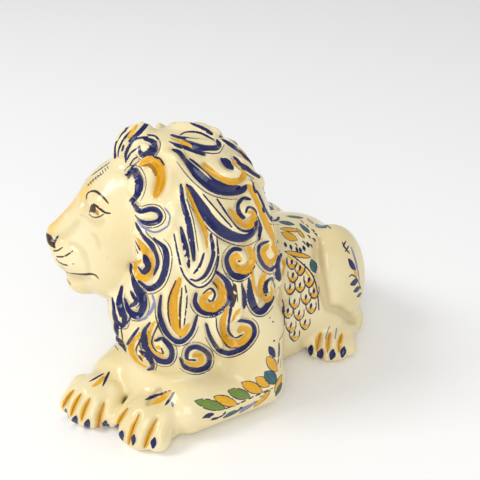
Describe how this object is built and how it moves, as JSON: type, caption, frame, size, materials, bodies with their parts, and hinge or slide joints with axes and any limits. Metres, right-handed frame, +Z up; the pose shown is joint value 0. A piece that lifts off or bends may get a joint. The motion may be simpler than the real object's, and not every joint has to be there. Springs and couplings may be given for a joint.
{
  "type": "lion figurine",
  "caption": "Lying lion figurine in hand-painted tin-glazed earthenware, head turned to its right, curled mane, for display on a shelf, hearth or table",
  "frame": {"origin": "centre of the underside's bounding rectangle, on the surface the lion lies on", "axes": "+Z up, the body runs along Y with the paws towards -Y and the rump towards +Y, the lion's left side is +X"},
  "size_m": [0.2134, 0.383, 0.301],
  "materials": {
    "glaze": "cream tin glaze, glossy, painted in cobalt blue, yellow, green and brown"
  },
  "bodies": {
    "root": {"lion": "glaze"}
  },
  "joints": []
}
